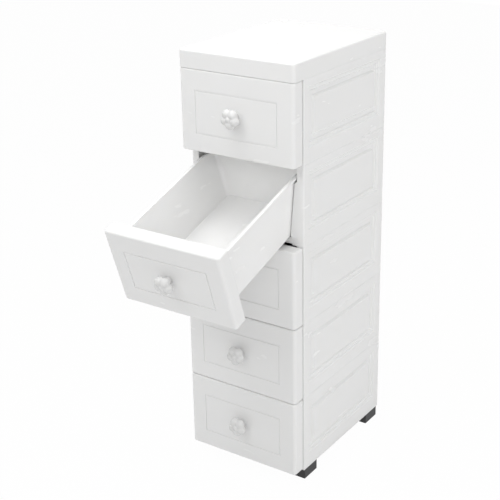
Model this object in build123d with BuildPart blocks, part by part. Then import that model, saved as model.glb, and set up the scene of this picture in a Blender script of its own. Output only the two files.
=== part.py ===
"""Five-tier moulded plastic drawer tower, second drawer pulled out and tipped forward.

Millimetres, +Z up, floor at z = 0. X = 0 is the middle of the width and Y = 0 the middle of
the footprint of the four feet. The drawers open towards -Y.
Tier 1 is the top one. A drawer and the pieces of one tier are drawn in that tier's own
frame, with y = 0 at the case's front plane and z = 0 at the tier's bottom, then placed.
"""
from build123d import *
from math import cos, radians, sin
import os

os.makedirs("parts", exist_ok=True)

# ---------------------------------------------------------------- driving dimensions
tier_count = 5
open_tier = 2  # the tier whose drawer stands open
tier_height = 188.5
case_width = 300.0
side_depth = 351.0  # side panels, front edge to the seam with the back panels
back_depth = 16.0  # back panels, which wrap round the rear corners
wall = 3.0  # moulded wall of every large panel
edge_radius = 4.0
corner_radius = 8.0
seam_chamfer = 0.5  # softened edges where one tier meets the next
fit_gap = 0.3  # between pieces that slot into each other

lid_height = 40.0
base_thickness = 3.5
foot_height = 25.0
foot_width = 50.0
foot_length = 55.0
front_foot_inset = 3.0
rear_foot_inset = 12.0
foot_plug_radius = 7.0
plug_clearance = 0.1

side_thickness = 18.0
ledge_width = 12.0  # carries the shelf, inside each side panel
stile_gap = 2.2  # between the front stile and the leaning tub wall
stile_rim_clearance = 7.0  # the stile steps back this far under the drawer's rim
relief_front_margin = 18.5
relief_rear_margin = 16.5
relief_top_margin = 18.5
relief_bottom_margin = 34.5
relief_band = 10.0  # first step of the moulding
relief_step_depth = 3.5
relief_floor_depth = 7.0
relief_slope = 40.0  # lean of the walls between the steps, in degrees
field_gap = 13.0  # from the second step to the raised field
field_bevel = 4.0
field_top_depth = 1.5  # how far the raised field stays below the frame
rib_thickness = 2.0
side_cells_along = 4
side_cells_high = 2
back_cells_across = 4

peg_radius = 4.0
peg_height = 5.0
peg_clearance = 0.1
peg_end_distance = 30.0
tongue_thickness = 3.0
tongue_length = wall  # as long as the flange it enters

deck_height = 17.0  # top of a shelf above the bottom of its tier
shelf_front_y = 1.0
cells_across = 3
cells_along = 4
runner_height = 13.5
runner_width = 12.0
runner_inset = 8.0  # a rail's middle, in from the foot of the tub wall
runner_front_gap = 1.0
runner_rear_gap = 11.0
back_stop_height = 17.5
back_stop_length = 6.0
back_stop_gap = 1.0

pivot_y = 33.0  # tipping axis behind the case's front plane
pivot_above_deck = 4.0
held_length = 91.0  # tub floor that stays behind the tipping axis of an open drawer
tip_angle = 18.0
glide_length = 30.0
glide_pad_thickness = 4.0
glide_width = 15.7
glide_hub_radius = 3.5
glide_web_length = 7.0
glide_clearance = 0.05  # between the pad and the tub it carries
pin_radius = 2.5
pin_clearance = 0.05
bearing_length = 10.0
bearing_above_pin = 5.0

cover_side_gap = 1.0  # the cover is this much narrower than the case, on each side
cover_depth = 34.0
cover_standoff = 3.5  # seam between a closed drawer front and the case
cover_bottom_gap = 0.6
cover_top_gap = 0.8
cover_bottom_rise = 2.4  # the bottom slopes up towards the back, for the tipping
cover_back_radius = 2.0
groove_width = 3.0
groove_depth = 1.5
groove_side_inset = 42.5
groove_top_inset = 47.0
groove_bottom_inset = 43.5

tub_wall = 2.5
tub_floor = 3.0
rim_side_gap = 2.0  # between the rim and each side panel
tub_side_draft = 11.5  # each side wall leans out this far from bottom to top
tub_tail_gap = 14.0  # between the tub's tail and the back panel
tub_tail_draft = 5.0
tub_rim_below_tier = 25.0
tub_corner_radius = 12.0
rim_overhang = 4.5
rim_depth = 6.0
tail_cut_length = 47.0
tail_cut_drop = 8.0
stop_lug_length = 8.0
stop_lug_width = 10.0
stop_lug_depth = 4.0

knob_rise = 1.2  # knob axis above the middle of the cover
petal_count = 5
petal_radius = 11.0
petal_circle_radius = 12.0
petal_standoff = 20.0
knob_neck_radius = 7.0
knob_foot_radius = 10.0
knob_foot_thickness = 3.0
knob_button_radius = 8.0
knob_button_standoff = 24.0
screw_radius = 2.0
screw_hole_clearance = 0.25
thread_clearance = 0.05
screw_head_radius = 4.0
screw_head_thickness = 2.5
screw_grip = 11.0
screw_boss_radius = 6.0

# ---------------------------------------------------------------- worked out from them
case_depth = side_depth + back_depth
footprint_length = case_depth - front_foot_inset - rear_foot_inset
case_front_y = -(front_foot_inset + footprint_length / 2)
case_bottom_z = foot_height + base_thickness
half_width = case_width / 2
side_inner_x = half_width - side_thickness
runner_top = deck_height + runner_height
pivot_z = deck_height + pivot_above_deck
cover_back_y = -cover_standoff
cover_front_y = cover_back_y - cover_depth
cover_width = case_width - 2 * cover_side_gap
cover_height = tier_height - cover_bottom_gap - cover_top_gap
cover_top = cover_bottom_gap + cover_height
cover_middle_z = cover_bottom_gap + cover_height / 2
knob_z = cover_middle_z + knob_rise
rim_top = tier_height - tub_rim_below_tier
rim_width = 2 * (side_inner_x - rim_side_gap)
tub_top_width = rim_width - 2 * rim_overhang
tub_bottom_width = tub_top_width - 2 * tub_side_draft
tub_top_end = side_depth - tub_tail_gap
tub_bottom_end = tub_top_end - tub_tail_draft
travel = tub_bottom_end - held_length
runner_centre_x = tub_bottom_width / 2 - runner_inset
shelf_half_width = side_inner_x - fit_gap
shelf_rear_y = side_depth - fit_gap
base_deck_half_width = side_inner_x - ledge_width - fit_gap
peg_x = half_width - side_thickness / 2
peg_front_y = peg_end_distance
peg_rear_y = side_depth - peg_end_distance


def tier_bottom(tier):
    return case_bottom_z + (tier_count - tier) * tier_height


def tier_place(tier):
    """Where a tier's own frame stands in the tower."""
    return Location((0, case_front_y, tier_bottom(tier)))


def drawer_place(tier):
    """A closed drawer's place, or the open one's: slid out, then tipped about its glides."""
    if tier != open_tier:
        return tier_place(tier)
    pivot = Location((0, pivot_y, pivot_z))
    tip = Location((0, 0, 0), (tip_angle, 0, 0))
    slide = Location((0, -pivot_y - travel, -pivot_z))
    return tier_place(tier) * pivot * tip * slide


def glide_place(tier):
    """A glide pair's place: level under a closed drawer, tipped under the open one."""
    if tier != open_tier:
        return tier_place(tier)
    pivot = Location((0, pivot_y, pivot_z))
    tip = Location((0, 0, 0), (tip_angle, 0, 0))
    return tier_place(tier) * pivot * tip * Location((0, -pivot_y, -pivot_z))


def save(solid, place, name):
    placed = solid.moved(place)
    placed.label = name
    export_step(placed, f"parts/{name}.step")


# ---------------------------------------------------------------- side panels
# One rectangle after another, each set in from the last, all seen on the outer face.
relief_length = side_depth - relief_front_margin - relief_rear_margin
relief_height = tier_height - relief_top_margin - relief_bottom_margin
relief_centre_y = relief_front_margin + relief_length / 2
relief_centre_z = relief_bottom_margin + relief_height / 2
inner_length = relief_length - 2 * relief_band
inner_height = relief_height - 2 * relief_band
field_length = inner_length - 2 * field_gap
field_height = inner_height - 2 * field_gap
pocket_depth = side_thickness - relief_floor_depth - wall
side_face = Plane.YZ.offset(half_width)
pocket_face = Plane.YZ.offset(side_inner_x + pocket_depth)
field_rise = relief_floor_depth - field_top_depth

tub_lean = (tub_top_width - tub_bottom_width) / 2 / (rim_top - runner_top)
stile_top_z = rim_top - rim_depth - 2 * stile_rim_clearance
stile_foot_x = tub_bottom_width / 2 + stile_gap
stile_top_x = stile_foot_x + tub_lean * (stile_top_z - runner_top)

# The hollow back of a side panel: one pocket behind everything, deeper behind the frame and
# the field, with ribs both ways.
with BuildPart() as side_hollow:
    with BuildSketch(Plane.YZ.offset(side_inner_x)):
        with Locations((side_depth / 2, tier_height / 2)):
            Rectangle(side_depth - 2 * wall, tier_height - 2 * wall)
    extrude(amount=pocket_depth)
    with BuildSketch(pocket_face):
        with Locations((side_depth / 2, tier_height / 2)):
            Rectangle(side_depth - 2 * wall, tier_height - 2 * wall)
        with Locations((relief_centre_y, relief_centre_z)):
            Rectangle(relief_length + 2 * wall, relief_height + 2 * wall, mode=Mode.SUBTRACT)
    extrude(amount=relief_floor_depth)
    with BuildSketch(pocket_face):
        with Locations((relief_centre_y, relief_centre_z)):
            Rectangle(field_length - 2 * field_bevel - wall, field_height - 2 * field_bevel - wall)
    extrude(amount=field_rise)
    side_rib_pitch = side_depth / side_cells_along
    with BuildSketch(Plane.YZ.offset(side_inner_x)):
        with Locations((side_depth / 2, tier_height / 2)):
            with GridLocations(side_rib_pitch, 0, side_cells_along - 1, 1):
                Rectangle(rib_thickness, tier_height)
            with GridLocations(0, tier_height / side_cells_high, 1, side_cells_high - 1):
                Rectangle(side_depth, rib_thickness)
    extrude(amount=side_thickness, mode=Mode.SUBTRACT)

with BuildPart() as side_panel:
    with BuildSketch(Plane.YZ.offset(side_inner_x)):
        with Locations((side_depth / 2, tier_height / 2)):
            Rectangle(side_depth, tier_height)
    extrude(amount=side_thickness)
    front_outer_edge = side_panel.edges().filter_by(Axis.Z).group_by(Axis.X)[-1].sort_by(Axis.Y)[0]
    fillet(front_outer_edge, edge_radius)
    chamfer(side_panel.edges().filter_by(Axis.Y).group_by(Axis.X)[-1], seam_chamfer)
    # two-step sinking of the outer face, with leaning walls
    with BuildSketch(side_face):
        with Locations((relief_centre_y, relief_centre_z)):
            Rectangle(relief_length, relief_height)
    extrude(amount=-relief_step_depth, taper=relief_slope, mode=Mode.SUBTRACT)
    with BuildSketch(side_face.offset(-relief_step_depth)):
        with Locations((relief_centre_y, relief_centre_z)):
            Rectangle(inner_length, inner_height)
    extrude(amount=relief_step_depth - relief_floor_depth, taper=relief_slope, mode=Mode.SUBTRACT)
    # raised field with bevelled edges
    with BuildSketch(side_face.offset(-relief_floor_depth)):
        with Locations((relief_centre_y, relief_centre_z)):
            Rectangle(field_length, field_height)
    with BuildSketch(side_face.offset(-field_top_depth)):
        with Locations((relief_centre_y, relief_centre_z)):
            Rectangle(field_length - 2 * field_bevel, field_height - 2 * field_bevel)
    loft()
    add(side_hollow.part, mode=Mode.SUBTRACT)
    # ledge along the foot of the panel for the shelf
    with BuildSketch():
        with Locations((side_inner_x, side_depth / 2)):
            Rectangle(2 * ledge_width, side_depth)
    extrude(amount=wall)
    # stile that narrows the front opening to the shape of the tub
    with BuildSketch(Plane.XZ):
        with BuildLine():
            Polyline(
                (side_inner_x, deck_height + fit_gap),
                (stile_foot_x, deck_height + fit_gap),
                (stile_foot_x, runner_top),
                (stile_top_x, stile_top_z),
                (side_inner_x, stile_top_z + stile_rim_clearance),
                close=True,
            )
        make_face()
    extrude(amount=-wall)
    # pegs on top, sockets below
    with BuildSketch(Plane.XY.offset(tier_height - wall)):
        with Locations((peg_x, peg_front_y), (peg_x, peg_rear_y)):
            Circle(peg_radius)
    extrude(amount=wall + peg_height)
    with BuildSketch():
        with Locations((peg_x, peg_front_y), (peg_x, peg_rear_y)):
            Circle(peg_radius + peg_clearance)
    extrude(amount=peg_height + fit_gap, mode=Mode.SUBTRACT)
    # slot in the rear flange for the back panel's tongue
    with BuildSketch(Plane.XY.offset(2 * wall - fit_gap)):
        with Locations((peg_x, side_depth - wall / 2)):
            Rectangle(tongue_thickness + fit_gap, wall)
    extrude(amount=tier_height - 4 * wall + 2 * fit_gap, mode=Mode.SUBTRACT)

for tier in range(1, tier_count + 1):
    save(side_panel.part, tier_place(tier), f"side_panel_right_{tier}")
    save(mirror(side_panel.part, about=Plane.YZ), tier_place(tier), f"side_panel_left_{tier}")

# ---------------------------------------------------------------- back panels
back_inner_radius = corner_radius - wall
back_cell_pitch = case_width / back_cells_across
with BuildPart() as back_hollow:
    with BuildSketch(Plane.XY.offset(wall)) as back_pocket:
        with Locations((0, case_depth - wall - back_depth / 2)):
            Rectangle(case_width - 2 * wall, back_depth)
        fillet(back_pocket.vertices().group_by(Axis.Y)[-1], back_inner_radius)
    extrude(amount=tier_height - 2 * wall)
    with BuildSketch(Plane.XZ.offset(-case_depth)):
        with Locations((0, tier_height / 2)):
            with GridLocations(back_cell_pitch, 0, back_cells_across - 1, 1):
                Rectangle(rib_thickness, tier_height)
            with GridLocations(0, tier_height / side_cells_high, 1, side_cells_high - 1):
                Rectangle(case_width, rib_thickness)
    extrude(amount=back_depth, mode=Mode.SUBTRACT)

with BuildPart() as back_panel:
    with BuildSketch():
        with Locations((0, side_depth + back_depth / 2)):
            Rectangle(case_width, back_depth)
    extrude(amount=tier_height)
    fillet(back_panel.edges().filter_by(Axis.Z).group_by(Axis.Y)[-1], corner_radius)
    chamfer(back_panel.edges().filter_by(Axis.X).group_by(Axis.Y)[-1], seam_chamfer)
    add(back_hollow.part, mode=Mode.SUBTRACT)
    # upright tongues that enter the side panels' rear flanges, each on a short web
    with BuildSketch(Plane.XY.offset(2 * wall)):
        with Locations((-peg_x, side_depth), (peg_x, side_depth)):
            Rectangle(tongue_thickness, 2 * tongue_length)
        with Locations((-peg_x, side_depth + tongue_length), (peg_x, side_depth + tongue_length)):
            Rectangle(side_thickness - fit_gap, wall)
    extrude(amount=tier_height - 4 * wall)

for tier in range(1, tier_count + 1):
    save(back_panel.part, tier_place(tier), f"back_panel_{tier}")


# ---------------------------------------------------------------- shelves and base
# Rails, back stops and pin bearings, the same on every deck.
rail_front = pivot_y + runner_front_gap
rail_rear = shelf_rear_y - runner_rear_gap
rail_middle = (rail_front + rail_rear) / 2
stop_middle = tub_bottom_end + back_stop_gap + back_stop_length / 2
with BuildPart() as runners:
    with BuildSketch(Plane.XY.offset(deck_height)):
        with Locations((-runner_centre_x, rail_middle), (runner_centre_x, rail_middle)):
            Rectangle(runner_width, rail_rear - rail_front)
    extrude(amount=runner_height)
    with BuildSketch(Plane.XY.offset(deck_height)):
        with Locations((-runner_centre_x, stop_middle), (runner_centre_x, stop_middle)):
            Rectangle(runner_width, back_stop_length)
    extrude(amount=back_stop_height)
    with BuildSketch(Plane.XY.offset(deck_height)):
        with Locations((-runner_centre_x, pivot_y), (runner_centre_x, pivot_y)):
            Rectangle(runner_width, bearing_length)
    extrude(amount=pivot_above_deck + bearing_above_pin)
    with BuildSketch(Plane.YZ.offset(-half_width)):
        with Locations((pivot_y, pivot_z)):
            Circle(pin_radius + pin_clearance)
    extrude(amount=case_width, mode=Mode.SUBTRACT)

# hollows between the ribs under a deck
deck_length = shelf_rear_y - shelf_front_y
deck_cell_length = (deck_length - (cells_along + 1) * wall) / cells_along
shelf_cell_width = (2 * shelf_half_width - (cells_across + 1) * wall) / cells_across
base_cell_width = (2 * base_deck_half_width - (cells_across + 1) * wall) / cells_across

with BuildPart() as shelf:
    with BuildSketch(Plane.XY.offset(wall)):
        with Locations((0, (shelf_rear_y + shelf_front_y) / 2)):
            Rectangle(2 * shelf_half_width, deck_length)
    extrude(amount=deck_height - wall)
    fillet(shelf.edges().filter_by(Axis.X).group_by(Axis.Y)[0].sort_by(Axis.Z)[-1], wall / 2)
    # hollow underneath, with ribs both ways
    with BuildSketch(Plane.XY.offset(wall)):
        with Locations((0, (shelf_rear_y + shelf_front_y) / 2)):
            with GridLocations(shelf_cell_width + wall, deck_cell_length + wall, cells_across, cells_along):
                Rectangle(shelf_cell_width, deck_cell_length)
    extrude(amount=deck_height - 2 * wall, mode=Mode.SUBTRACT)
    add(runners.part)

for tier in range(1, tier_count):
    save(shelf.part, tier_place(tier), f"shelf_{tier}")

foot_x = half_width - foot_width / 2
front_foot_y = front_foot_inset + foot_length / 2
rear_foot_y = case_depth - rear_foot_inset - foot_length / 2
foot_centres = {
    "foot_front_left": (-foot_x, front_foot_y),
    "foot_front_right": (foot_x, front_foot_y),
    "foot_rear_left": (-foot_x, rear_foot_y),
    "foot_rear_right": (foot_x, rear_foot_y),
}

with BuildPart() as base:
    with BuildSketch(Plane.XY.offset(-base_thickness)):
        with Locations((0, case_depth / 2)):
            Rectangle(case_width, case_depth)
    extrude(amount=base_thickness)
    fillet(base.edges().filter_by(Axis.Z).group_by(Axis.Y)[-1], corner_radius)
    with BuildSketch():
        with Locations((0, (shelf_rear_y + shelf_front_y) / 2)):
            Rectangle(2 * base_deck_half_width, deck_length)
    extrude(amount=deck_height)
    with BuildSketch(Plane.XY.offset(-base_thickness)):
        with Locations((0, (shelf_rear_y + shelf_front_y) / 2)):
            with GridLocations(base_cell_width + wall, deck_cell_length + wall, cells_across, cells_along):
                Rectangle(base_cell_width, deck_cell_length)
    extrude(amount=base_thickness + deck_height - wall, mode=Mode.SUBTRACT)
    # pads that close the plate again above the feet
    with BuildSketch(Plane.XY.offset(-base_thickness)):
        with Locations(*foot_centres.values()):
            Rectangle(foot_width, foot_length)
    extrude(amount=base_thickness)
    with BuildSketch():
        with Locations(
            (-peg_x, peg_front_y), (peg_x, peg_front_y), (-peg_x, peg_rear_y), (peg_x, peg_rear_y)
        ):
            Circle(peg_radius)
    extrude(amount=peg_height)
    with BuildSketch(Plane.XY.offset(-base_thickness)):
        with Locations(*foot_centres.values()):
            Circle(foot_plug_radius + plug_clearance)
    extrude(amount=base_thickness - fit_gap, mode=Mode.SUBTRACT)
    add(runners.part)
save(base.part, tier_place(tier_count), "base")

# ---------------------------------------------------------------- feet
with BuildPart() as foot:
    with BuildSketch(Plane.XY.offset(-case_bottom_z)):
        Rectangle(foot_width, foot_length)
    extrude(amount=foot_height)
    fillet(foot.edges().filter_by(Axis.Z), wall / 2)
    chamfer(foot.faces().sort_by(Axis.Z)[0].edges(), fit_gap)
    with BuildSketch(Plane.XY.offset(-base_thickness)):
        Circle(foot_plug_radius)
    extrude(amount=base_thickness - 2 * fit_gap)

for foot_name, (centre_x, centre_y) in foot_centres.items():
    save(foot.part, tier_place(tier_count) * Location((centre_x, centre_y, 0)), foot_name)

# ---------------------------------------------------------------- lid
lid_length = case_depth - cover_front_y
lid_centre_y = cover_front_y + lid_length / 2
with BuildPart() as lid:
    with BuildSketch():
        with Locations((0, lid_centre_y)):
            Rectangle(case_width, lid_length)
    extrude(amount=lid_height)
    fillet(lid.edges().filter_by(Axis.Z), corner_radius)
    fillet(lid.faces().sort_by(Axis.Z)[-1].edges(), edge_radius)
    with BuildSketch():
        with Locations((0, lid_centre_y)):
            RectangleRounded(case_width - 2 * wall, lid_length - 2 * wall, corner_radius - wall)
    extrude(amount=lid_height - wall, mode=Mode.SUBTRACT)
    # socket posts for the top side panels' pegs
    with BuildSketch(Plane.XY):
        with Locations(
            (-peg_x, peg_front_y), (peg_x, peg_front_y), (-peg_x, peg_rear_y), (peg_x, peg_rear_y)
        ):
            Circle(peg_radius + wall)
    extrude(amount=lid_height - wall)
    with BuildSketch(Plane.XY):
        with Locations(
            (-peg_x, peg_front_y), (peg_x, peg_front_y), (-peg_x, peg_rear_y), (peg_x, peg_rear_y)
        ):
            Circle(peg_radius + peg_clearance)
    extrude(amount=peg_height + fit_gap, mode=Mode.SUBTRACT)
save(lid.part, tier_place(1) * Location((0, 0, tier_height)), "lid")

# ---------------------------------------------------------------- tipping glides
glide_outer_x = runner_centre_x - runner_width / 2 - fit_gap
glide_centre_x = glide_outer_x - glide_width / 2
pin_length = runner_width + fit_gap
pad_top = runner_top - glide_clearance
with BuildPart() as glide_pair:
    with BuildSketch(Plane.XY.offset(pad_top - glide_pad_thickness)):
        with Locations((-glide_centre_x, pivot_y), (glide_centre_x, pivot_y)):
            Rectangle(glide_width, glide_length)
    extrude(amount=glide_pad_thickness)
    chamfer(glide_pair.edges().filter_by(Axis.X).group_by(Axis.Z)[0], glide_pad_thickness / 3)
    with BuildSketch(Plane.XY.offset(pivot_z)):
        with Locations((-glide_centre_x, pivot_y), (glide_centre_x, pivot_y)):
            Rectangle(glide_width, glide_web_length)
    extrude(amount=pad_top - glide_pad_thickness - pivot_z)
    for side in (-1, 1):
        with BuildSketch(Plane.YZ.offset(side * glide_centre_x - glide_width / 2)):
            with Locations((pivot_y, pivot_z)):
                Circle(glide_hub_radius)
        extrude(amount=glide_width)
        with BuildSketch(Plane.YZ.offset(side * (glide_outer_x + pin_length / 2) - pin_length / 2)):
            with Locations((pivot_y, pivot_z)):
                Circle(pin_radius)
        extrude(amount=pin_length)

for tier in range(1, tier_count + 1):
    save(glide_pair.part, glide_place(tier), f"tipping_glides_{tier}")

# ---------------------------------------------------------------- drawer tubs
plate_inset = wall + fit_gap
plate_width = cover_width - 2 * plate_inset
plate_height = cover_height - cover_bottom_rise - 2 * plate_inset
plate_middle_z = cover_bottom_gap + cover_bottom_rise + plate_inset + plate_height / 2
rim_end = tub_top_end + rim_overhang
inner_top_width = tub_top_width - 2 * tub_wall
inner_bottom_width = tub_bottom_width - 2 * tub_wall


def tub_outline(width, end, radius):
    """Plan of the tub at one height: square to the cover, rounded at the tail."""
    with Locations((0, (cover_back_y + end) / 2)):
        Rectangle(width, end - cover_back_y)
    fillet(tub_sketch.vertices().group_by(Axis.Y)[-1], radius)


with BuildPart() as tub:
    with BuildSketch(Plane.XY.offset(runner_top)) as tub_sketch:
        tub_outline(tub_bottom_width, tub_bottom_end, tub_corner_radius)
    with BuildSketch(Plane.XY.offset(rim_top)) as tub_sketch:
        tub_outline(tub_top_width, tub_top_end, tub_corner_radius)
    loft()
    # outward rim along the top
    with BuildSketch(Plane.XY.offset(rim_top - rim_depth)) as tub_sketch:
        tub_outline(rim_width, rim_end, tub_corner_radius + rim_overhang)
    extrude(amount=rim_depth)
    with BuildSketch(Plane.XY.offset(runner_top + tub_floor)) as tub_sketch:
        tub_outline(inner_bottom_width, tub_bottom_end - tub_wall, tub_corner_radius - tub_wall)
    with BuildSketch(Plane.XY.offset(rim_top)) as tub_sketch:
        tub_outline(inner_top_width, tub_top_end - tub_wall, tub_corner_radius - tub_wall)
    loft(mode=Mode.SUBTRACT)
    # the tail is cut down so that it can lift as the drawer tips
    with BuildSketch(Plane.YZ.offset(-half_width)):
        with BuildLine():
            tail_end = rim_end + 1
            cut_top = rim_top + 1
            Polyline(
                (tub_top_end - tail_cut_length, rim_top),
                (tub_top_end - tail_cut_length, cut_top),
                (tail_end, cut_top),
                (tail_end, rim_top - tail_cut_drop),
                close=True,
            )
        make_face()
    extrude(amount=case_width, mode=Mode.SUBTRACT)
    # plate that fills the back of the cover
    with BuildSketch(Plane.XZ.offset(cover_standoff)):
        with Locations((0, plate_middle_z)):
            Rectangle(plate_width, plate_height)
    extrude(amount=wall)
    # stop lugs that meet the glides when the drawer is fully out
    lug_y = pivot_y + travel + glide_length / 2 + fit_gap + stop_lug_length / 2
    with BuildSketch(Plane.XY.offset(runner_top - stop_lug_depth)):
        with Locations((-glide_centre_x, lug_y), (glide_centre_x, lug_y)):
            Rectangle(stop_lug_width, stop_lug_length)
    extrude(amount=stop_lug_depth)
    # hole for the knob screw
    with BuildSketch(Plane.XZ.offset(cover_standoff)):
        with Locations((0, knob_z)):
            Circle(screw_radius + screw_hole_clearance)
    extrude(amount=wall, mode=Mode.SUBTRACT)

for tier in range(1, tier_count + 1):
    save(tub.part, drawer_place(tier), f"drawer_tub_{tier}")

# ---------------------------------------------------------------- drawer covers
front_plane = Plane.XZ.offset(-cover_front_y)
groove_outer_width = cover_width - 2 * groove_side_inset + groove_width
groove_outer_height = cover_height - groove_top_inset - groove_bottom_inset + groove_width
groove_middle_z = cover_middle_z + (groove_bottom_inset - groove_top_inset) / 2
with BuildPart() as cover:
    with BuildSketch(Plane.XY.offset(cover_bottom_gap)):
        with Locations((0, (cover_front_y + cover_back_y) / 2)):
            Rectangle(cover_width, cover_depth)
    extrude(amount=cover_height)
    fillet(cover.edges().filter_by(Axis.Z).group_by(Axis.Y)[0], corner_radius)
    for end_face in (cover.faces().sort_by(Axis.Z)[0], cover.faces().sort_by(Axis.Z)[-1]):
        outline = end_face.edges().sort_by(Axis.Y)
        fillet(outline[:-1], edge_radius)
    fillet(cover.edges().filter_by(Axis.X).group_by(Axis.Y)[-1].sort_by(Axis.Z)[-1], cover_back_radius)
    # the bottom slopes up towards the back
    with BuildSketch(Plane.YZ.offset(-cover_width / 2)):
        with BuildLine():
            Polyline(
                (cover_front_y + edge_radius, cover_bottom_gap),
                (cover_back_y, cover_bottom_gap),
                (cover_back_y, cover_bottom_gap + cover_bottom_rise),
                close=True,
            )
        make_face()
    extrude(amount=cover_width, mode=Mode.SUBTRACT)
    # open at the back
    with BuildSketch(Plane.XY.offset(cover_bottom_gap + cover_bottom_rise + wall)) as cover_pocket:
        with Locations((0, (cover_front_y + cover_back_y + wall) / 2)):
            Rectangle(cover_width - 2 * wall, cover_depth - wall)
        fillet(cover_pocket.vertices().group_by(Axis.Y)[0], corner_radius - wall)
    extrude(amount=cover_height - cover_bottom_rise - 2 * wall, mode=Mode.SUBTRACT)
    # thin groove that frames the face
    with BuildSketch(front_plane):
        with Locations((0, groove_middle_z)):
            Rectangle(groove_outer_width, groove_outer_height)
            Rectangle(
                groove_outer_width - 2 * groove_width,
                groove_outer_height - 2 * groove_width,
                mode=Mode.SUBTRACT,
            )
    extrude(amount=-groove_depth, mode=Mode.SUBTRACT)
    # post that carries the knob screw across the hollow
    with BuildSketch(Plane.XZ.offset(cover_standoff + wall)):
        with Locations((0, knob_z)):
            Circle(screw_boss_radius)
    extrude(amount=cover_depth - 2 * wall)
    with BuildSketch(Plane.XZ.offset(cover_standoff)):
        with Locations((0, knob_z)):
            Circle(screw_radius + screw_hole_clearance)
    extrude(amount=cover_depth, mode=Mode.SUBTRACT)

for tier in range(1, tier_count + 1):
    save(cover.part, drawer_place(tier), f"drawer_cover_{tier}")

# ---------------------------------------------------------------- knobs and their screws
petal_plane = Plane.XZ.offset(-cover_front_y + petal_standoff)
with BuildPart() as knob:
    with BuildSketch(front_plane):
        with Locations((0, knob_z)):
            Circle(knob_foot_radius)
    extrude(amount=knob_foot_thickness, taper=35)
    with BuildSketch(front_plane):
        with Locations((0, knob_z)):
            Circle(knob_neck_radius)
    extrude(amount=petal_standoff)
    with BuildSketch(petal_plane.offset(-petal_radius / 2)):
        with Locations((0, knob_z)):
            Circle(petal_circle_radius)
    extrude(amount=petal_radius)
    with Locations(petal_plane):
        with Locations((0, knob_z)):
            with PolarLocations(petal_circle_radius, petal_count, start_angle=-90):
                Sphere(petal_radius)
    with Locations(Plane.XZ.offset(-cover_front_y + knob_button_standoff)):
        with Locations((0, knob_z)):
            Sphere(knob_button_radius)
    with BuildSketch(front_plane):
        with Locations((0, knob_z)):
            Circle(screw_radius + thread_clearance)
    extrude(amount=screw_grip + fit_gap, mode=Mode.SUBTRACT)

with BuildPart() as knob_screw:
    with BuildSketch(Plane.XZ.offset(cover_standoff)):
        with Locations((0, knob_z)):
            Circle(screw_radius)
    extrude(amount=cover_depth + screw_grip)
    with BuildSketch(Plane.XZ.offset(cover_standoff)):
        with Locations((0, knob_z)):
            Circle(screw_head_radius)
    extrude(amount=-screw_head_thickness)
    fillet(knob_screw.edges().filter_by(GeomType.CIRCLE).sort_by(Axis.Y)[-1], screw_head_thickness / 2)

for tier in range(1, tier_count + 1):
    save(knob.part, drawer_place(tier), f"knob_{tier}")
    save(knob_screw.part, drawer_place(tier), f"knob_screw_{tier}")
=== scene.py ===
import math

import bpy
import numpy as np
from mathutils import Matrix, Vector


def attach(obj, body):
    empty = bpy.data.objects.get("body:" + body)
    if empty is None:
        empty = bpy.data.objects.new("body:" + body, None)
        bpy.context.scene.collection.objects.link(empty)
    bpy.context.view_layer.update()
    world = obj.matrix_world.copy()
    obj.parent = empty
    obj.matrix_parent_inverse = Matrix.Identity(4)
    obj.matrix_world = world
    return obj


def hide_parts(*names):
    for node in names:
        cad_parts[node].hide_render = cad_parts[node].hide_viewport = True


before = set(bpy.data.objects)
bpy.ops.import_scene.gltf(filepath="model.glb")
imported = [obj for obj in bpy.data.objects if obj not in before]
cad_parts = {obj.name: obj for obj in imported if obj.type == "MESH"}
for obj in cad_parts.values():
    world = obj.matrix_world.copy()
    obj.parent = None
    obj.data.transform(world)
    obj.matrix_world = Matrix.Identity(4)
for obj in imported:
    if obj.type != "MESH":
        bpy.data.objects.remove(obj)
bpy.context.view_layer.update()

# ---------------------------------------------------------------- sizes, in metres
TIERS = 5
OPEN_TIER = 2
TIER_HEIGHT = 0.1885
CASE_BOTTOM = 0.0285
CASE_FRONT = -0.179
COVER_FRONT = CASE_FRONT - 0.0375
KNOB_ABOVE_TIER = 0.09535
PIVOT_BEHIND_CASE_FRONT = 0.033
PIVOT_ABOVE_TIER = 0.021
TRAVEL = 0.241
TIP = math.radians(18)

KNOB_LOBES = 5
LOBE_RADIUS = 0.0108
LOBE_CIRCLE = 0.0120  # the lobes' middles lie on it
LOBE_STANDOFF = 0.0200  # from the drawer's front to the lobes' middles
BUTTON_RADIUS = 0.0078
BUTTON_STANDOFF = 0.0240
CORE_RADIUS = 0.0100
NECK_RADIUS = 0.0070
FOOT_RADIUS = 0.0098
FOOT_FLARE = 0.0030
KNOB_TURN_STEPS = 120
KNOB_FOOT_STEPS = 7
KNOB_FACE_STEPS = 74
FLOWER_BACK_ANGLE = 0.74 * math.pi  # from straight ahead to where the flower meets the neck
FLOWER_FACE_ANGLE = 0.004  # the last ring before the middle of the face
BLEND_POWER = 10  # higher makes sharper creases between the lobes

WHITE = 0.90
PLASTIC_IOR = 1.49
SKIN_BUMP = 0.25
GLOW_DEPTH = 0.0025
GLOW_COLOURS = (1.0, 0.97, 0.92)


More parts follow.
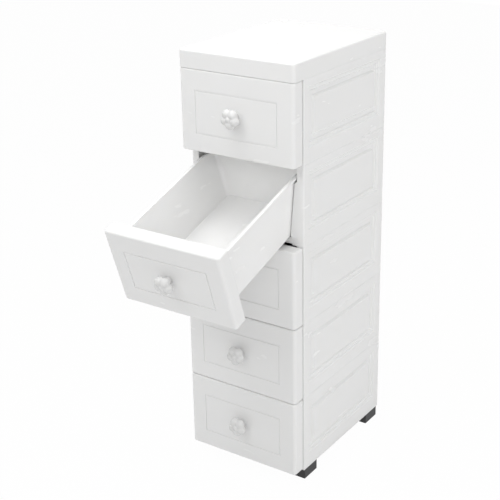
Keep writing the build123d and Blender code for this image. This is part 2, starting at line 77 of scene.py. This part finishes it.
# ---------------------------------------------------------------- shader maths
class Socket:
    """A shader socket that adds Math nodes when it is used in a Python expression."""

    def __init__(self, tree, link):
        self.tree = tree
        self.link = link

    def _math(self, operation, other=None, clamp=False):
        node = self.tree.nodes.new("ShaderNodeMath")
        node.operation = operation
        node.use_clamp = clamp
        for place, value in enumerate((self, other)):
            if isinstance(value, Socket):
                self.tree.links.new(value.link, node.inputs[place])
            elif value is not None:
                node.inputs[place].default_value = value
        return Socket(self.tree, node.outputs[0])

    def _swapped(self, operation, other):
        """The operation with the plain number first."""
        node = self.tree.nodes.new("ShaderNodeMath")
        node.operation = operation
        node.inputs[0].default_value = other
        self.tree.links.new(self.link, node.inputs[1])
        return Socket(self.tree, node.outputs[0])

    def __add__(self, other):
        return self._math("ADD", other)

    __radd__ = __add__

    def __sub__(self, other):
        return self._math("SUBTRACT", other)

    def __rsub__(self, other):
        return self._swapped("SUBTRACT", other)

    def __mul__(self, other):
        return self._math("MULTIPLY", other)

    __rmul__ = __mul__

    def clamped(self):
        """The same value, kept between nought and one."""
        return self._math("ADD", 0.0, clamp=True)


class Finish:
    """A material being made: its tree, its main shader and one method that adds any node."""

    def __init__(self, name):
        self.material = bpy.data.materials.new(name)
        self.material.use_nodes = True
        self.tree = self.material.node_tree
        self.shader = next(n for n in self.tree.nodes if n.type == "BSDF_PRINCIPLED")
        self.place = self.node("ShaderNodeTexCoord", output="Object")

    def node(self, kind, settings=None, inputs=None, output=0):
        """Adds a node, sets its settings, then its inputs, and returns one output."""
        made = self.tree.nodes.new(kind)
        for key, value in (settings or {}).items():
            setattr(made, key, value)
        for key, value in (inputs or {}).items():
            if isinstance(value, Socket):
                self.tree.links.new(value.link, made.inputs[key])
            else:
                made.inputs[key].default_value = value
        return Socket(self.tree, made.outputs[output])

    def noise(self, scale, detail=3.0, roughness=0.5, stretch=(1, 1, 1)):
        """Noise on the object's own coordinates, in waves per metre."""
        place = self.node("ShaderNodeMapping", inputs={"Vector": self.place, "Scale": stretch})
        return self.node(
            "ShaderNodeTexNoise",
            inputs={"Vector": place, "Scale": scale, "Detail": detail, "Roughness": roughness},
            output="Fac",
        )

    def blend(self, factor, first, second):
        """Mixes two colours by a factor."""
        return self.node(
            "ShaderNodeMix",
            settings={"data_type": "RGBA"},
            inputs={0: factor, 6: first, 7: second},
            output=2,
        )

    def feed(self, socket, value):
        """Links or sets one socket of the main shader."""
        if isinstance(value, Socket):
            self.tree.links.new(value.link, self.shader.inputs[socket])
        else:
            self.shader.inputs[socket].default_value = value

    def bump(self, height, strength, distance):
        """Turns a height into the main shader's normal."""
        made = self.node(
            "ShaderNodeBump",
            inputs={"Height": height, "Strength": strength, "Distance": distance},
            output="Normal",
        )
        self.feed("Normal", made)


def moulded_skin(name, roughness, gloss_change, grain, glow=0.0):
    """Injection-moulded plastic, all but its colour: flow-dulled gloss, fine skin and sink marks."""
    finish = Finish(name)
    speck = finish.noise(420.0, detail=2.0)
    flow = finish.noise(9.0, detail=3.0, stretch=(1.0, 1.0, 3.5))
    finish.feed("Roughness", (flow * gloss_change + (roughness - gloss_change / 2)).clamped())
    ripple = finish.noise(38.0, detail=2.0)
    sink = finish.noise(7.0, detail=1.0)
    finish.bump(speck * 0.35 + ripple * 0.5 + sink * 2.0, SKIN_BUMP, grain)
    finish.shader.inputs["IOR"].default_value = PLASTIC_IOR
    finish.shader.inputs["Subsurface Weight"].default_value = glow
    finish.shader.inputs["Subsurface Radius"].default_value = GLOW_COLOURS
    finish.shader.inputs["Subsurface Scale"].default_value = GLOW_DEPTH
    return finish


def cloudy_colour(finish, colour, warm):
    """A colour that drifts a little towards a warmer one in slow clouds."""
    cloud = finish.noise(5.5, detail=4.0, roughness=0.55)
    tint = (cloud * 1.6 - 0.3).clamped()
    finish.feed("Base Color", finish.blend(tint, colour, warm))


def white_shell(name, shade):
    """Satin white plastic that lets a little light in; shade scales its whiteness, and for the tubs and
    knobs it also holds painted light and painted shade.
    """
    base = WHITE * shade
    finish = moulded_skin(name, roughness=0.26, gloss_change=0.08, grain=0.00012, glow=0.25)
    cool = (base, base, base * 0.997, 1)
    warm = (base * 0.985, base * 0.984, base * 0.975, 1)
    cloudy_colour(finish, cool, warm)
    return finish.material


def black_foot(name):
    """Black rubbery plastic with a grey bloom along scuffed places."""
    finish = moulded_skin(name, roughness=0.5, gloss_change=0.2, grain=0.0004)
    scuff = finish.noise(60.0, detail=5.0, roughness=0.7)
    worn = ((scuff - 0.58) * 6.0).clamped()
    black = (0.018, 0.018, 0.019, 1)
    bloom = (0.07, 0.07, 0.07, 1)
    finish.feed("Base Color", finish.blend(worn * 0.4, black, bloom))
    return finish.material


def acetal(name):
    """Milky glide plastic, with a gloss that changes from place to place."""
    finish = moulded_skin(name, roughness=0.28, gloss_change=0.16, grain=0.0002)
    cloudy_colour(finish, (0.78, 0.76, 0.70, 1), (0.72, 0.70, 0.63, 1))
    return finish.material


def zinc_steel(name):
    """Zinc-plated screw steel with turning marks and dulled patches."""
    finish = Finish(name)
    marks = finish.noise(900.0, detail=2.0, stretch=(1.0, 0.05, 1.0))
    patch = finish.noise(160.0, detail=4.0)
    finish.feed("Base Color", finish.blend(patch, (0.62, 0.62, 0.60, 1), (0.48, 0.49, 0.50, 1)))
    finish.feed("Roughness", (marks * 0.3 + 0.22).clamped())
    finish.feed("Metallic", 1.0)
    finish.bump(marks, 0.3, 0.0001)
    return finish.material


shell_white = white_shell("white_shell", 0.985)
# The tubs' white is lighter than the shell's. This is partly the thinner tub plastic's own colour and
# partly painted light that brightens the inside of the drawer.
tub_own_white_and_painted_light = white_shell("white_tub_and_painted_light", 1.02)
# The knobs' white is darker than the shell's: painted shade that stands in for the shade falling on the
# knobs' lobes.
knob_white_painted_shade = white_shell("white_knob_painted_shade", 0.86)
foot_black = black_foot("black_foot")
glide_acetal = acetal("glide_acetal")
screw_zinc = zinc_steel("screw_zinc")


def dress(node_object, material):
    """Gives a CAD node its one material."""
    node_object.data.materials.clear()
    node_object.data.materials.append(material)


for node_name, node_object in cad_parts.items():
    if node_name.startswith("foot"):
        dress(node_object, foot_black)
    elif node_name.startswith("knob_screw"):
        dress(node_object, screw_zinc)
    elif node_name.startswith("tipping"):
        dress(node_object, glide_acetal)
    elif node_name.startswith("drawer_tub"):
        dress(node_object, tub_own_white_and_painted_light)
    else:
        dress(node_object, shell_white)


# ---------------------------------------------------------------- surfaces
def grid_faces(rows, columns, wrap):
    """Quads between neighbouring points of a grid; wrap joins the last column to the first."""
    row = np.arange(rows - 1)[:, None]
    last = columns if wrap else columns - 1
    column = np.arange(last)[None, :]
    following = (column + 1) % columns
    corners = np.stack(
        [
            row * columns + column,
            row * columns + following,
            (row + 1) * columns + following,
            (row + 1) * columns + column,
        ],
        axis=-1,
    )
    return corners.reshape(-1, 4)


def surface(name, points, wrap, caps=()):
    """A mesh object from a grid of points, with a fan that closes each end row named in caps."""
    rows, columns, _ = points.shape
    faces = grid_faces(rows, columns, wrap).tolist()
    vertices = points.reshape(-1, 3)
    for end in caps:
        ring = np.arange(columns) + (0 if end == "first" else (rows - 1) * columns)
        middle = len(vertices)
        vertices = np.vstack([vertices, vertices[ring].mean(axis=0)])
        following = np.roll(ring, -1)
        if end == "first":
            fan = np.stack([following, ring, np.full(columns, middle)], axis=-1)
        else:
            fan = np.stack([ring, following, np.full(columns, middle)], axis=-1)
        faces += fan.tolist()
    mesh = bpy.data.meshes.new(name)
    mesh.from_pydata(vertices.tolist(), [], faces)
    mesh.polygons.foreach_set("use_smooth", np.ones(len(mesh.polygons), dtype=bool))
    mesh.update()
    made = bpy.data.objects.new(name, mesh)
    bpy.context.scene.collection.objects.link(made)
    return made


def tier_bottom(tier):
    """Height of the underside of a tier; tier 1 is the top one."""
    return CASE_BOTTOM + (TIERS - tier) * TIER_HEIGHT


def drawer_place(tier):
    """Moves points of a shut drawer whose tier stands at z = 0 to this tier's drawer at rest."""
    lift = Matrix.Translation((0, 0, tier_bottom(tier)))
    if tier != OPEN_TIER:
        return lift
    pivot = Vector((0, CASE_FRONT + PIVOT_BEHIND_CASE_FRONT, PIVOT_ABOVE_TIER))
    tip = Matrix.Rotation(TIP, 4, "X")
    pull = Matrix.Translation(-pivot - Vector((0, TRAVEL, 0)))
    return lift @ Matrix.Translation(pivot) @ tip @ pull


def placed(points, matrix):
    """The points turned and moved by a matrix."""
    turn = np.array(matrix.to_3x3())
    return points @ turn.T + np.array(matrix.translation)


def far_hit(direction, centre, radius):
    """How far a ray from the origin goes before it leaves a ball, or nought where it misses."""
    along = direction @ centre
    reach = radius**2 - centre @ centre + along**2
    return np.where(reach > 0, along + np.sqrt(np.clip(reach, 0, None)), 0).clip(0, None)


def flower_knob():
    """Rows of points about the knob's axis, from the foot on the cover to the middle of the face.

    The flower is star-shaped about the middle of its ring of lobes. In each direction the surface
    lies at a smooth maximum of the distances at which a ray leaves the five round lobes, the
    button in front and the core: the sum of their tenth powers, to the power of one tenth. The
    neck is a straight round post, and its foot flares by a quarter turn of a circle.
    """
    angle = np.linspace(0, 2 * math.pi, KNOB_TURN_STEPS, endpoint=False)
    ring = np.stack([np.sin(angle), np.zeros(KNOB_TURN_STEPS), -np.cos(angle)], axis=-1)
    outward = np.array([0.0, -1.0, 0.0])

    quarter = np.linspace(0, math.pi / 2, KNOB_FOOT_STEPS)[:, None, None]
    flare_radius = FOOT_RADIUS - (FOOT_RADIUS - NECK_RADIUS) * np.sin(quarter)
    foot = flare_radius * ring + FOOT_FLARE * (1 - np.cos(quarter)) * outward

    polar = np.linspace(FLOWER_BACK_ANGLE, FLOWER_FACE_ANGLE, KNOB_FACE_STEPS)[:, None, None]
    direction = np.sin(polar) * ring + np.cos(polar) * outward
    button = (BUTTON_STANDOFF - LOBE_STANDOFF) * outward
    balls = [(np.zeros(3), CORE_RADIUS), (button, BUTTON_RADIUS)]
    for lobe in range(KNOB_LOBES):
        place = 2 * math.pi * lobe / KNOB_LOBES
        middle = LOBE_CIRCLE * np.array([math.sin(place), 0, -math.cos(place)])
        balls.append((middle, LOBE_RADIUS))
    total = sum(far_hit(direction, centre, radius) ** BLEND_POWER for centre, radius in balls)
    reach = total ** (1 / BLEND_POWER)
    flower = direction * reach[..., None] + LOBE_STANDOFF * outward
    return np.vstack([foot, flower])


knob_points = flower_knob()
knob_centre = np.array([0, COVER_FRONT, KNOB_ABOVE_TIER])
for tier in range(1, TIERS + 1):
    points = placed(knob_points + knob_centre, drawer_place(tier))
    knob = surface(f"flower_knob_{tier}", points, wrap=True, caps=("first", "last"))
    knob.data.materials.append(knob_white_painted_shade)
    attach(knob, f"drawer_{tier}")
    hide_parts(f"knob_{tier}")

# ---------------------------------------------------------------- floor and backdrop
FLOOR_HALF = 6.0
FLOOR_WHITE_SHARE = 0.98  # the rest shows the object's shadow
SHOWN_WHITE = ("Is Camera Ray", "Is Glossy Ray", "Is Transmission Ray")


def pale_floor(name):
    """White to the camera and in reflections, pale grey to the light, with a little of the shadow."""
    finish = Finish(name)
    for node in list(finish.tree.nodes):
        if node.type == "BSDF_PRINCIPLED":
            finish.tree.nodes.remove(node)
    diffuse = finish.node("ShaderNodeBsdfDiffuse", inputs={"Color": (0.8, 0.8, 0.8, 1)})
    glow = finish.node("ShaderNodeEmission", inputs={"Color": (1, 1, 1, 1), "Strength": 1.0})
    rays = [finish.node("ShaderNodeLightPath", output=kind) for kind in SHOWN_WHITE]
    shown = (rays[0] + rays[1] + rays[2]).clamped()
    mixed = finish.node("ShaderNodeMixShader", inputs={0: shown * FLOOR_WHITE_SHARE, 1: diffuse, 2: glow})
    out = next(n for n in finish.tree.nodes if n.type == "OUTPUT_MATERIAL")
    finish.tree.links.new(mixed.link, out.inputs["Surface"])
    return finish.material


floor = surface(
    "studio_floor",
    np.array(
        [
            [[-FLOOR_HALF, -FLOOR_HALF, 0], [FLOOR_HALF, -FLOOR_HALF, 0]],
            [[-FLOOR_HALF, FLOOR_HALF, 0], [FLOOR_HALF, FLOOR_HALF, 0]],
        ],
        dtype=float,
    ),
    wrap=False,
)
floor.data.materials.append(pale_floor("pale_floor"))

# ---------------------------------------------------------------- light
world = bpy.data.worlds.new("studio")
bpy.context.scene.world = world
world.use_nodes = True
sky = world.node_tree
sky_out = next(n for n in sky.nodes if n.type == "OUTPUT_WORLD")
for node in list(sky.nodes):
    if node.type == "BACKGROUND":
        sky.nodes.remove(node)
soft = sky.nodes.new("ShaderNodeBackground")
soft.inputs["Color"].default_value = (1, 1, 1, 1)
soft.inputs["Strength"].default_value = 0.34
plain = sky.nodes.new("ShaderNodeBackground")
plain.inputs["Color"].default_value = (1, 1, 1, 1)
plain.inputs["Strength"].default_value = 1.0
ray = sky.nodes.new("ShaderNodeLightPath")
choose = sky.nodes.new("ShaderNodeMixShader")
sky_rays = [Socket(sky, ray.outputs[kind]) for kind in SHOWN_WHITE]
sky_shown = (sky_rays[0] + sky_rays[1] + sky_rays[2]).clamped()
sky.links.new(sky_shown.link, choose.inputs[0])
sky.links.new(soft.outputs[0], choose.inputs[1])
sky.links.new(plain.outputs[0], choose.inputs[2])
sky.links.new(choose.outputs[0], sky_out.inputs["Surface"])


def lamp(name, place, aim, size, watts):
    """A rectangular area lamp that faces its aim."""
    light = bpy.data.lights.new(name, "AREA")
    light.shape = "RECTANGLE"
    light.size, light.size_y = size
    light.energy = watts
    made = bpy.data.objects.new(name, light)
    bpy.context.scene.collection.objects.link(made)
    made.location = place
    made.rotation_euler = (Vector(aim) - Vector(place)).to_track_quat("-Z", "Y").to_euler()
    return made


lamp("overhead", (-0.3, -0.4, 3.2), (0, 0, 0.7), (2.2, 2.2), 41)
lamp("front_upper_left", (-0.8, -2.6, 3.0), (0, -0.2, 0.6), (2.0, 2.0), 22)
lamp("beside_camera", (2.2, -3.4, 2.4), (0, -0.1, 0.5), (2.5, 2.5), 34)
lamp("right", (3.9, 0.4, 1.5), (0, 0, 0.5), (2.5, 2.5), 44)
lamp("front", (0.0, -4.2, 1.3), (0, 0, 0.5), (3.0, 3.0), 9)

# ---------------------------------------------------------------- camera
IMAGE_SIDE = 500.0
FOCAL = 1125.83
EYE = (1.36122, -2.12093, 1.52867)
YAW = math.radians(33.4606)
PITCH = math.radians(20.3057)
ROLL = math.radians(-0.569)
CENTRE_RIGHT = 26.17
CENTRE_DOWN = -39.475

camera_data = bpy.data.cameras.new("photo_camera")
camera = bpy.data.objects.new("photo_camera", camera_data)
bpy.context.scene.collection.objects.link(camera)
camera_data.sensor_width = 36.0
camera_data.lens = FOCAL * 36.0 / IMAGE_SIDE
camera_data.shift_x = -CENTRE_RIGHT / IMAGE_SIDE
camera_data.shift_y = CENTRE_DOWN / IMAGE_SIDE
camera_data.clip_start = 0.05
camera_data.clip_end = 60.0
ahead = Vector(
    (-math.sin(YAW) * math.cos(PITCH), math.cos(YAW) * math.cos(PITCH), -math.sin(PITCH))
)
level = ahead.cross(Vector((0, 0, 1))).normalized()
upright = level.cross(ahead)
camera_right = math.cos(ROLL) * level + math.sin(ROLL) * upright
camera_up = -math.sin(ROLL) * level + math.cos(ROLL) * upright
turn = Matrix((camera_right, camera_up, -ahead)).transposed().to_4x4()
camera.matrix_world = Matrix.Translation(EYE) @ turn
bpy.context.scene.camera = camera

bpy.context.scene.view_settings.view_transform = "Standard"
